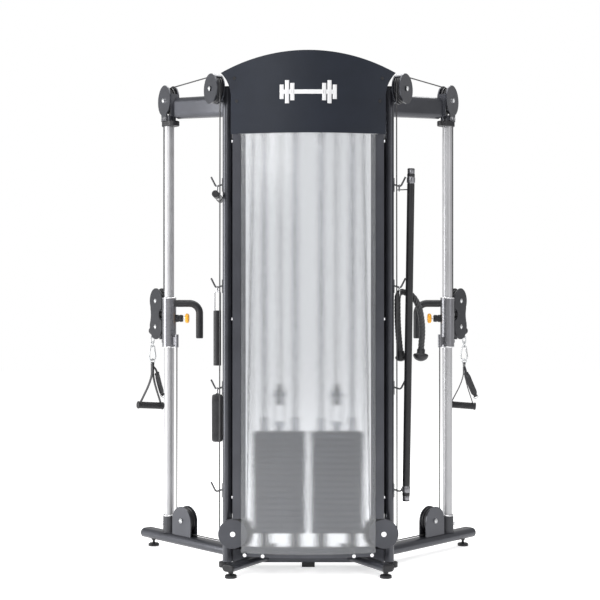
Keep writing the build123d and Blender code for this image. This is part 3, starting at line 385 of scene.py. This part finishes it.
# ---------------------------------------------------------------- mesh tools
def add_mesh(name, verts, faces, mat, body, slot, smooth=True):
    mesh = bpy.data.meshes.new(name)
    mesh.from_pydata([tuple(v) for v in verts], [], faces)
    mesh.update()
    mesh.materials.append(mat)
    obj = bpy.data.objects.new(name, mesh)
    bpy.context.scene.collection.objects.link(obj)
    if smooth:
        mesh.polygons.foreach_set("use_smooth", [True] * len(mesh.polygons))
    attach(obj, body)
    return obj


def frames_along(points, closed=False, first_up=None):
    """Tangent and two steady cross directions at each point of a path."""
    count = len(points)
    tangents = []
    for i in range(count):
        a = points[(i - 1) % count] if closed or i else points[0]
        b = points[(i + 1) % count] if closed or i < count - 1 else points[-1]
        tangents.append((b - a).normalized())
    side = first_up or (UP if abs(tangents[0].z) < 0.9 else Vector((1, 0, 0)))
    result = []
    for t in tangents:
        side = (side - t * side.dot(t)).normalized()
        result.append((t, side, t.cross(side)))
    return result


def sweep(points, section, closed=False, first_up=None, scale=None):
    """Vertices and faces of a closed section carried along a path. section holds (side, other) pairs."""
    verts, faces = [], []
    n = len(section)
    for i, (p, (_, a, b)) in enumerate(zip(points, frames_along(points, closed, first_up))):
        k = scale(i / (len(points) - 1)) if scale else 1
        verts += [p + a * (u * k) + b * (v * k) for u, v in section]
    rings = len(points)
    for i in range(rings if closed else rings - 1):
        j = (i + 1) % rings
        for k in range(n):
            m = (k + 1) % n
            faces.append((i * n + k, i * n + m, j * n + m, j * n + k))
    if not closed:
        faces.append(tuple(range(n - 1, -1, -1)))
        faces.append(tuple((rings - 1) * n + k for k in range(n)))
    return verts, faces


def circle_section(radius, sides=16):
    turns = [2 * math.pi * k / sides for k in range(sides)]
    return [(radius * math.cos(t), radius * math.sin(t)) for t in turns]


def rounded_section(width, thick, corner, steps=4):
    """Rounded rectangle, width along the first cross direction."""
    points = []
    for cx, cy, start in ((1, 1, 0), (-1, 1, 90), (-1, -1, 180), (1, -1, 270)):
        for s in range(steps + 1):
            a = math.radians(start + 90 * s / steps)
            points.append((cx * (width / 2 - corner) + corner * math.cos(a),
                           cy * (thick / 2 - corner) + corner * math.sin(a)))
    return points


def merge(parts):
    verts, faces = [], []
    for v, f in parts:
        base = len(verts)
        verts += v
        faces += [tuple(i + base for i in face) for face in f]
    return verts, faces


def lathe(centre, axis, profile, sides=40):
    """Surface turned about an axis from (radius, height) pairs."""
    axis = Vector(axis).normalized()
    across = axis.orthogonal().normalized()
    other = axis.cross(across)
    verts, faces = [], []
    for r, h in profile:
        for k in range(sides):
            t = 2 * math.pi * k / sides
            verts.append(centre + axis * h + (across * math.cos(t) + other * math.sin(t)) * r)
    for i in range(len(profile) - 1):
        for k in range(sides):
            m = (k + 1) % sides
            faces.append((i * sides + k, i * sides + m, (i + 1) * sides + m, (i + 1) * sides + k))
    faces.append(tuple(range(sides - 1, -1, -1)))
    faces.append(tuple((len(profile) - 1) * sides + k for k in range(sides)))
    return verts, faces


def arc_points(centre, a, b, radius, start, end, steps):
    """Points on an arc in the plane of the directions a and b, angles in degrees."""
    turns = [math.radians(start + (end - start) * k / steps) for k in range(steps + 1)]
    return [centre + a * (radius * math.cos(t)) + b * (radius * math.sin(t)) for t in turns]


def ring_wire(centre, axis, major, minor):
    axis = Vector(axis).normalized()
    across = axis.orthogonal().normalized()
    points = arc_points(centre, across, axis.cross(across), major, 0, 352.5, 47)
    return sweep(points, circle_section(minor, 12), closed=True, first_up=axis)


def smooth_line(points, rounds=3, closed=False):
    """Corner cutting: each round replaces a corner by two points."""
    line = list(points)
    for _ in range(rounds):
        out = [] if closed else [line[0]]
        pairs = zip(line, line[1:] + line[:1]) if closed else zip(line, line[1:])
        for a, b in pairs:
            out += [a.lerp(b, 0.25), a.lerp(b, 0.75)]
        if not closed:
            out.append(line[-1])
        line = out
    return line


def stitches(points, normal, length=0.0028, gap=0.0018, r=0.00032):
    """Row of short thread capsules along a line, standing just proud of the cloth."""
    parts = []
    for a, b in zip(points, points[1:]):
        run = (b - a).length
        way = (b - a).normalized()
        count = int(run / (length + gap))
        for n in range(count):
            start = a + way * (n * (length + gap) + gap / 2)
            line = [start, start + way * length * 0.5 + normal * r, start + way * length]
            parts.append(sweep(line, circle_section(r, 6), first_up=normal))
    return merge(parts)


# ---------------------------------------------------------------- triceps rope
ROPE_R = 0.014
ROPE_TOP = (404, 208, 1185)
ROPE_LEFT = [
    ROPE_TOP, (385, 207, 1184), (384.5, 209, 1115), (386, 208, 1045), (391, 210, 975), (399, 213, 908),
]
ROPE_RIGHT = [
    ROPE_TOP, (430, 213, 1182), (458, 221, 1160), (480, 226, 1120), (491, 228, 1064),
    (494, 228, 1008), (489, 229, 955), (487, 228, 916),
]


def rope_route(route):
    """Points read from a smooth NURBS line through the rope's route."""
    data = bpy.data.curves.new("route", "CURVE")
    data.dimensions = "3D"
    data.resolution_u = 24
    spline = data.splines.new("NURBS")
    spline.points.add(len(route) - 1)
    for point, (x, y, z) in zip(spline.points, route):
        point.co = (*place(x / 1000, y / 1000, z / 1000), 1)
    spline.order_u = 3
    spline.use_endpoint_u = True
    obj = bpy.data.objects.new("route", data)
    bpy.context.scene.collection.objects.link(obj)
    mesh = bpy.data.meshes.new_from_object(obj)
    points = [v.co.copy() for v in mesh.vertices]
    bpy.data.objects.remove(obj)
    bpy.data.meshes.remove(mesh)
    return points


def even_points(points, step):
    """The same line, cut into even steps."""
    lengths = [0.0]
    for a, b in zip(points, points[1:]):
        lengths.append(lengths[-1] + (b - a).length)
    count = max(2, round(lengths[-1] / step))
    out, i = [], 0
    for n in range(count + 1):
        want = lengths[-1] * n / count
        while i < len(lengths) - 2 and lengths[i + 1] < want:
            i += 1
        span = max(lengths[i + 1] - lengths[i], 1e-9)
        out.append(points[i].lerp(points[i + 1], (want - lengths[i]) / span))
    return out, lengths[-1]


def laid_rope(points, radius, strands=4, pitch=0.060, strand=0.0062):
    """Fat strands laid one way round a line, over a plain core."""
    parts = [sweep(points, circle_section(radius - strand, 16))]
    frames = frames_along(points)
    step = (points[1] - points[0]).length
    for s in range(strands):
        line = []
        for i, (p, (_, a, b)) in enumerate(zip(points, frames)):
            t = 2 * math.pi * (s / strands + i * step / pitch)
            line.append(p + (a * math.cos(t) + b * math.sin(t)) * (radius - strand))
        parts.append(sweep(line, circle_section(strand, 14)))
    return merge(parts)


def make_long_bar_ends():
    """Stepped collars and end caps on the two ends of the stored bar."""
    top, foot = place(0.441, 0.180, 1.714), place(0.419, 0.180, 0.288)
    along = (foot - top).normalized()
    collars, caps = [], []
    for end, inward in ((top, along), (foot, -along)):
        profile = [(0.0142, 0.004), (0.0155, 0.005), (0.0155, 0.021), (0.0146, 0.023), (0.0146, 0.036),
                   (0.0172, 0.038), (0.0180, 0.041), (0.0180, 0.058), (0.0172, 0.061), (0.0161, 0.064)]
        collars.append(lathe(end, inward, profile, 40))
        rims = [(0.0143, 0.0225), (0.0164, 0.0235), (0.0164, 0.0355), (0.0143, 0.0365)]
        caps.append(lathe(end, inward, rims, 40))
        tip = [(0.0030, 0.0002), (0.0120, 0.0002), (0.0157, 0.002), (0.0157, 0.0052), (0.0143, 0.0056)]
        caps.append(lathe(end, inward, tip, 40))
    add_mesh("long_bar_collars", *merge(collars), MID_METAL, "frame", "polished_rod")
    add_mesh("long_bar_caps", *merge(caps), RUBBER, "frame", "black_rubber")


make_long_bar_ends()


def make_rope():
    ring_centre = place(HOOK_LOW_X, HOOK_Y, HOOK_HEIGHTS[1] + 0.0091 - 0.022)
    ring = add_mesh("rope_ring", *ring_wire(ring_centre, (1, 0, 0), 0.022, 0.0025), CHROME, "frame",
                    "polished_rod")
    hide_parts("triceps_rope")
    for name, route, end_r in (("left", ROPE_LEFT, 0.025), ("right", ROPE_RIGHT, 0.033)):
        line, length = even_points(rope_route(route), 0.0026)
        rope = add_mesh(f"rope_{name}", *laid_rope(line, ROPE_R), ROPE_YARN, "frame", "webbing")
        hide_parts("triceps_rope")
        along = (line[-1] - line[-4]).normalized()
        profile = [(ROPE_R + 0.0012, -0.022), (ROPE_R + 0.0035, -0.020), (ROPE_R + 0.0035, -0.004),
                   (end_r * 0.86, -0.001), (end_r, 0.004)]
        profile += [(end_r * math.cos(math.radians(a)), 0.004 + (end_r - 0.006) * math.sin(math.radians(a)))
                    for a in range(10, 90, 10)]
        profile.append((0.003, end_r - 0.002))
        stop = lathe(line[-1], along, profile)
        stop = add_mesh(f"rope_stop_{name}", *stop, RUBBER, "frame", "black_rubber")
        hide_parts("triceps_rope")


make_rope()


# ---------------------------------------------------------------- strap handles, chains and snap hooks
def local_points(matrix, points):
    return [matrix @ Vector((x / 1000, y / 1000, z / 1000)) for x, y, z in points]


def make_handle(side, sign, turn, pad_turn):
    matrix = Matrix.Translation(ball(sign)) @ Matrix.Rotation(math.radians(turn), 4, "Z")
    depth = (matrix.to_3x3() @ Vector((0, 1, 0))).normalized()
    body, node_name = f"handle_{side}", f"strap_handle_{side}"
    pieces = []
    outline = [(45.5, 0, -357), (3.4, 0, -229), (2.8, 0, -160), (5.2, 0, -154), (0, 0, -147.5),
               (-5.2, 0, -154), (-2.8, 0, -160), (-3.4, 0, -229), (-65.5, 0, -348)]
    line = smooth_line(local_points(matrix, outline), 2)
    line, _ = even_points(line, 0.003)
    strap = sweep(line, rounded_section(0.025, 0.0024, 0.001, 3), first_up=depth)
    pieces.append(add_mesh(f"handle_strap_{side}", *strap, WEBBING, body, "webbing"))
    normal = (matrix.to_3x3() @ Vector((0, 0, 1))).cross(depth).normalized()
    rows = []
    for y in (-9.5, 9.5):
        for face in (-1, 1):
            ends = local_points(matrix, [(face * 4.9, y, -172), (face * 4.9, y, -220)])
            rows.append(stitches(ends, normal * face))
    pieces.append(add_mesh(f"handle_stitching_{side}", *merge(rows), THREAD, body, "webbing"))
    middle, tip = local_points(matrix, [(-10, 0, -353), (54.5, 0, -358)])
    axis = (tip - middle).normalized()
    half, r = 0.0645, 0.017
    profile = [(0.0105, -half), (r - 0.001, -half), (r + 0.0006, -half + 0.002), (r + 0.0006, -half + 0.007),
               (r - 0.0012, -half + 0.009)]
    ribs = 22
    for n in range(ribs * 4):
        h = -half + 0.010 + (2 * half - 0.020) * n / (ribs * 4 - 1)
        profile.append((r - 0.0014 + 0.0008 * math.cos(n * math.pi / 2), h))
    profile += [(r - 0.0012, half - 0.009), (r + 0.0006, half - 0.007), (r + 0.0006, half - 0.002),
                (r - 0.001, half), (0.0105, half)]
    grip = lathe(middle, axis, profile, 36)
    pieces.append(add_mesh(f"handle_grip_{side}", *grip, RUBBER, body, "black_rubber"))
    pad_matrix = Matrix.Translation(ball(sign)) @ Matrix.Rotation(math.radians(pad_turn), 4, "Z")
    pieces += make_pad(side, body, pad_matrix)
    for piece in pieces:
        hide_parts(node_name)


def make_pad(side, body, matrix):
    """Short padded strap that hangs beside the handle, with a folded top and a D-ring at its foot."""
    depth = (matrix.to_3x3() @ Vector((0, 1, 0))).normalized()
    top, end = local_points(matrix, [(8, -21, -204), (48, -21, -300)])
    run = (end - top).normalized()
    steps = 30
    line = [top.lerp(end, n / steps) for n in range(steps + 1)]
    line = [p + depth * (0.0018 * math.sin(math.pi * n / steps)) for n, p in enumerate(line)]

    def fullness(t):
        edge = min(t, 1 - t)
        return 0.72 + 0.28 * min(1, edge / 0.12) ** 0.6
    pad = sweep(line, rounded_section(0.0105, 0.029, 0.0048, 6), first_up=depth, scale=fullness)
    pad = add_mesh(f"handle_pad_{side}", *pad, NEOPRENE, body, "webbing")
    across = run.cross(depth).normalized()
    rows = []
    for edge in (-1, 1):
        for face in (-1, 1):
            a = top + run * 0.010 + across * (edge * 0.0105) + depth * (face * 0.0050)
            b = end - run * 0.010 + across * (edge * 0.0105) + depth * (face * 0.0050)
            rows.append(stitches([a, b], depth * face))
    thread = add_mesh(f"handle_pad_thread_{side}", *merge(rows), THREAD, body, "webbing")
    dee = ring_wire(end + run * 0.0122, depth, 0.010, 0.002)
    dee = add_mesh(f"handle_dee_{side}", *dee, CHROME, body, "polished_rod")
    tab_line = arc_points(end + run * 0.0055, -run, depth, 0.0062, 20, 340, 18)
    tab = sweep(tab_line, rounded_section(0.017, 0.0016, 0.0006, 2), first_up=across)
    tab = add_mesh(f"handle_pad_tab_{side}", *tab, WEBBING, body, "webbing")
    knob_line = arc_points(top - run * 0.001, -run, depth, 0.0058, 10, 350, 20)
    knob = sweep(knob_line, rounded_section(0.022, 0.0022, 0.0008, 2), first_up=across)
    knob = add_mesh(f"handle_pad_fold_{side}", *knob, WEBBING, body, "webbing")
    route = [(0, -6, -170), (2, -14, -178), (4, -20, -188), (8, -21, -203)]
    line = smooth_line(local_points(matrix, route), 2)
    link = sweep(line, rounded_section(0.012, 0.002, 0.0008, 2), first_up=across)
    link = add_mesh(f"handle_pad_link_{side}", *link, WEBBING, body, "webbing")
    return [pad, thread, dee, tab, knob, link]


def wire_loop(matrix, outline, wire, rounds=4):
    """Closed wire through rounded corners, in the handle's own millimetres."""
    line = smooth_line(local_points(matrix, outline), rounds, closed=True)
    return sweep(line, circle_section(wire, 12), closed=True, first_up=(matrix.to_3x3() @ Vector((0, 1, 0))))


def link_outline(top, tall, wide, wire):
    h, w = tall / 2 - wire, wide / 2 - wire
    z = top - tall / 2
    return [(w * 1.08, 0, z + h * 0.6), (w * 0.95, 0, z + h * 1.08), (-w * 0.95, 0, z + h * 1.08),
            (-w * 1.08, 0, z + h * 0.6), (-w * 1.08, 0, z - h * 0.6), (-w * 0.95, 0, z - h * 1.08),
            (w * 0.95, 0, z - h * 1.08), (w * 1.08, 0, z - h * 0.6)]


def make_hook(side, sign):
    """Two chain links, a pear-shaped wire snap hook with its gate, and the handle's ring."""
    swing = heading(SWIVEL_ANGLE, sign)
    across = swing.cross(UP)
    facing = Matrix((across, UP.cross(across), UP)).transposed().to_4x4()
    turned = Matrix((swing, UP.cross(swing), UP)).transposed().to_4x4()
    at = Matrix.Translation(ball(sign))
    body = f"handle_{side}"
    hook_frame = at @ facing
    pear = [(9.5, 0, -74.5), (-9.5, 0, -74.5), (-11, 0, -82), (-13.5, 0, -100), (-17, 0, -122),
            (-15, 0, -139), (0, 0, -143.5), (15, 0, -139), (17, 0, -122), (13.5, 0, -100), (11, 0, -82)]
    parts = {
        f"chain_link_one_{side}": wire_loop(at @ facing, link_outline(-26.2, 34, 20, 2.6), 0.0026),
        f"chain_link_two_{side}": wire_loop(at @ turned, link_outline(-50.2, 30, 18, 2.4), 0.0024),
        f"snap_hook_wire_{side}": wire_loop(hook_frame, [(x, y, z + 3) for x, y, z in pear], 0.0031),
        f"handle_ring_{side}": ring_wire(at @ Vector((0, 0, -0.1442)), swing, 0.011, 0.0026),
    }
    gate = smooth_line(local_points(hook_frame, [(11.5, 0, -88), (12, 0, -100), (15, 0, -118)]), 2)
    parts[f"snap_hook_gate_{side}"] = sweep(gate, circle_section(0.0042, 14))
    nose = smooth_line(local_points(hook_frame, [(14, 0, -112), (15, 0, -118), (15.6, 0, -124)]), 1)
    parts[f"snap_hook_nose_{side}"] = sweep(nose, circle_section(0.0049, 14))
    for name, mesh in parts.items():
        piece = add_mesh(name, *mesh, ZINC, body, "polished_rod")
        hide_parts(f"snap_hook_{side}")


for side, sign in SIDES:
    make_handle(side, sign, *((0, 0) if sign > 0 else (28, 60)))
    make_hook(side, sign)


# ---------------------------------------------------------------- ankle strap
def make_ankle_strap():
    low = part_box("ankle_strap")[0]
    x, y = -HOOK_LOW_X, HOOK_Y - DEPTH_CENTRE
    tall, deep, thick, wide = 0.204, 0.060, 0.009, 0.042
    middle = Vector((x, y, low.z + tall / 2))
    along_y = Vector((0, 1, 0))

    def loop(offset):
        r = deep / 2 - thick / 2 + offset
        reach = tall / 2 - deep / 2
        points = arc_points(middle + UP * reach, along_y, UP, r, 0, 180, 16)
        points += [points[-1].lerp(middle - UP * reach - along_y * r, k / 12) for k in range(1, 12)]
        points += arc_points(middle - UP * reach, along_y, UP, r, 180, 360, 16)
        points += [points[-1].lerp(middle + UP * reach + along_y * r, k / 12) for k in range(1, 12)]
        return points
    side_dir = Vector((1, 0, 0))
    pad = sweep(loop(0), rounded_section(wide - 0.002, thick, 0.0043, 6), closed=True, first_up=side_dir)
    pad = add_mesh("ankle_pad", *pad, NEOPRENE, "frame", "webbing")
    edges = []
    for edge in (-1, 1):
        rim = [p + side_dir * (edge * (wide / 2 - 0.0022)) for p in loop(0)]
        edges.append(sweep(rim, circle_section(0.0030, 10), closed=True, first_up=side_dir))
    binding = add_mesh("ankle_binding", *merge(edges), WEBBING, "frame", "webbing")
    band = sweep(loop(thick / 2 + 0.0005), rounded_section(0.025, 0.0018, 0.0007, 2), closed=True,
                 first_up=side_dir)
    band = add_mesh("ankle_band", *band, WEBBING, "frame", "webbing")
    rows = []
    for edge in (-0.0105, 0.0105):
        path = [p + side_dir * edge for p in loop(thick / 2 + 0.0014)]
        rows.append(stitches(path[16:28], -along_y, gap=0.0012))
        rows.append(stitches(path[44:], along_y, gap=0.0012))
    thread = add_mesh("ankle_thread", *merge(rows), THREAD, "frame", "webbing")
    ring = ring_wire(Vector((x, y, HOOK_HEIGHTS[2] + 0.0091 - 0.014)), (1, 0, 0), 0.014, 0.0025)
    ring = add_mesh("ankle_ring", *ring, CHROME, "frame", "polished_rod")
    keeper = arc_points(Vector((x, y, low.z + tall)), side_dir, UP, 0.0058, -20, 200, 14)
    keeper = sweep(keeper, rounded_section(0.016, 0.0016, 0.0006, 2), first_up=along_y)
    keeper = add_mesh("ankle_keeper", *keeper, WEBBING, "frame", "webbing")
    for piece in (pad, binding, band, thread, ring, keeper):
        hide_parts("ankle_strap")


make_ankle_strap()


# ---------------------------------------------------------------- details on the frame and carriages
def make_carriage_details(side, sign):
    at, body = upright(sign), f"carriage_{side}"
    rims = []
    for z in (SLEEVE_LOW, SLEEVE_TOP):
        out = 1 if z == SLEEVE_TOP else -1
        profile = [(UPRIGHT_R + 0.0009, -0.002 * out), (SLEEVE_R + 0.0008, -0.002 * out),
                   (SLEEVE_R + 0.0012, 0), (SLEEVE_R - 0.0012, 0.003 * out),
                   (UPRIGHT_R + 0.0016, 0.003 * out)]
        rims.append(lathe(at + UP * (z - 0.001 * out), UP, profile, 48))
    add_mesh(f"sleeve_rims_{side}", *merge(rims), CHROME, body, "polished_rod")
    elbow = 0.046
    left = Vector((-sign, 0, 0))
    start = at + UP * GRIP_Z + left * 0.036
    corner = at + UP * (GRIP_Z - elbow) + left * (GRIP_REACH - elbow)
    bend = arc_points(corner, left, UP, elbow, 90, 0, 18)
    foot = at + UP * (GRIP_END_Z - 0.002) + left * GRIP_REACH
    straight = [start.lerp(bend[0], k / 6) for k in range(6)]
    down = [bend[-1].lerp(foot, k / 30) for k in range(1, 31)]
    line, length = even_points(straight + bend + down, 0.0016)
    count = len(line) - 1

    def profile(t):
        s = t * length
        rounding = min(1, (s / 0.004), ((length - s) / 0.005)) if 0 < s < length else 0.0
        ribs = 0.012 * math.cos(2 * math.pi * s / 0.0064) if length - 0.150 < s < length - 0.012 else 0
        return 0.90 + 0.13 * math.sqrt(max(rounding, 0)) + ribs
    grip = sweep(line, circle_section(GRIP_R, 24), first_up=Vector((0, 1, 0)), scale=profile)
    add_mesh(f"pull_grip_{side}", *grip, RUBBER, body, "black_rubber")
    barrel = at + UP * PIN_Z + left * 0.032
    profile = [(0.0145, 0), (0.0172, 0.001), (0.0172, 0.0105), (0.0150, 0.012), (0.0150, 0.016),
               (0.0166, 0.0172), (0.0166, 0.0285), (0.0140, 0.0305), (0.0080, 0.0312)]
    add_mesh(f"pin_housing_{side}", *lathe(barrel, left, profile, 40), PLASTIC, body, "black_plastic")


def make_plate_rims(side, sign):
    """Raised rim round each weight plate, with a painted shadow gap between plates: the darker plate iron
    left bare between the lighter rims paints the shade at each joint.
    """
    low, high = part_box("weight_plates")
    head_low, head_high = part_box(f"selector_head_{side}")
    pitch, thick, corner, count = 0.0253, 0.0248, 0.006, 17
    x0, x1 = head_low.x - 0.0004, head_high.x + 0.0004
    y0, y1 = low.y - 0.0004, high.y + 0.0004
    for first, last, body, name in ((0, count - 1, "frame", "plate_rims"),
                                    (count - 1, count, f"selector_head_{side}", "top_plate_rim")):
        rims = []
        for n in range(first, last):
            z = low.z + n * pitch + thick / 2
            line = []
            for cx, cy, turn in ((x1, y1, 0), (x0, y1, 90), (x0, y0, 180), (x1, y0, 270)):
                ix = cx - corner if cx == x1 else cx + corner
                iy = cy - corner if cy == y1 else cy + corner
                line += arc_points(Vector((ix, iy, z)), Vector((1, 0, 0)), Vector((0, 1, 0)), corner, turn,
                                   turn + 90, 5)
            rims.append(sweep(line, rounded_section(0.0170, 0.0022, 0.0010, 2), closed=True, first_up=UP))
        add_mesh(f"{name}_{side}", *merge(rims), PLATE_RIM, body, "cast_iron_plates")


def make_emblem():
    """Plain dumbbell mark, thin and raised, wrapped on the header's curve."""
    panel_centre, radius, z0, proud = 0.961 - DEPTH_CENTRE, 0.953, 2.014, 0.0006
    bars = [(-0.105, 0.105, 0.009)]
    for sign in (-1, 1):
        for reach, tall in ((0.066, 0.036), (0.088, 0.048), (0.110, 0.030)):
            bars.append((sign * reach - 0.0085, sign * reach + 0.0085, tall))
    parts = []
    for x0, x1, tall in bars:
        steps = max(2, round(abs(x1 - x0) / 0.006))
        line = [Vector((x0 + (x1 - x0) * k / steps, 0, z0)) for k in range(steps + 1)]
        for p in line:
            p.y = panel_centre - math.sqrt(radius**2 - p.x**2)
        parts.append(sweep(line, rounded_section(tall * 2, proud * 2, proud * 0.9, 2), first_up=UP))
    add_mesh("header_emblem", *merge(parts), EMBLEM, "frame", "header_paint")


def dome_bolt(centre, axis, r, tall):
    """Domed bolt head on a washer, with a hexagon recess marked by an inner rim."""
    profile = [(r * 1.45, 0), (r * 1.45, tall * 0.18), (r * 1.05, tall * 0.22), (r, tall * 0.6),
               (r * 0.82, tall * 0.9), (r * 0.55, tall), (r * 0.42, tall), (r * 0.42, tall * 0.55)]
    return lathe(centre, axis, profile, 30)


def make_bolts(side, sign):
    top, leg = heading(TOP_ANGLE, sign), heading(LEG_ANGLE, sign)
    top_side, leg_side = (Vector((d.y * sign, -d.x * sign, 0)) for d in (top, leg))
    inner = place(TOP_INNER_X, TOP_INNER_Y, TOP_INNER_Z, sign)
    outer = place(TOP_INNER_X, TOP_INNER_Y, TOP_OUTER_Z, sign) + top * TOP_SPAN
    leg_wheel = upright(sign) - leg * LEG_WHEEL_BACK + UP * LOW_WHEEL_Z
    base_wheel = upright(sign) - leg * BASE_WHEEL_BACK + UP * LOW_WHEEL_Z
    heads = []
    wheels = ((inner, top_side, 0.025), (outer, top_side, 0.029), (leg_wheel, leg_side, 0.026),
              (base_wheel, leg_side, 0.022))
    for centre, axis, reach in wheels:
        for face in (-1, 1):
            heads.append(dome_bolt(centre + axis * (face * (reach - 0.0005)), axis * face, 0.0072, 0.0045))
    add_mesh(f"axle_heads_{side}", *merge(heads), ZINC, "frame", "polished_rod")
    swing = heading(SWIVEL_ANGLE, sign)
    across = swing.cross(UP)
    heads = []
    for z in (SWIVEL_UPPER_Z, SWIVEL_LOWER_Z):
        centre = swivel(sign) + swing * SWIVEL_CABLE_R + UP * z
        for face in (-1, 1):
            heads.append(dome_bolt(centre + across * (face * 0.0201), across * face, 0.0066, 0.0042))
    add_mesh(f"swivel_heads_{side}", *merge(heads), ZINC, f"swivel_{side}", "polished_rod")


def weld_bead(points, closed, up):
    """Line of overlapping ripples."""
    line, length = even_points(points + ([points[0]] if closed else []), 0.0016)

    def ripple(t):
        return 1 + 0.22 * math.cos(2 * math.pi * t * length / 0.0048)
    return sweep(line, circle_section(0.0024, 8), first_up=up, scale=ripple)


def make_welds(side, sign):
    at = upright(sign)
    out = Vector((1, 0, 0))
    back = Vector((0, 1, 0))
    socket = arc_points(at + UP * 0.0805, out, back, 0.0292, 0, 352, 44)
    add_mesh(f"socket_weld_{side}", *weld_bead(socket, True, UP), TEXTURED, "frame", "gunmetal_paint")
    collar = [(UPRIGHT_R + 0.0004, -0.003), (0.0288, -0.003), (0.0296, 0.0), (0.0270, 0.003),
              (UPRIGHT_R + 0.0006, 0.004)]
    add_mesh(f"socket_rim_{side}", *lathe(at + UP * 0.158, UP, collar, 48), CHROME, "frame", "polished_rod")


make_emblem()
for side, sign in SIDES:
    make_carriage_details(side, sign)
    make_bolts(side, sign)
    make_welds(side, sign)
    make_plate_rims(side, sign)
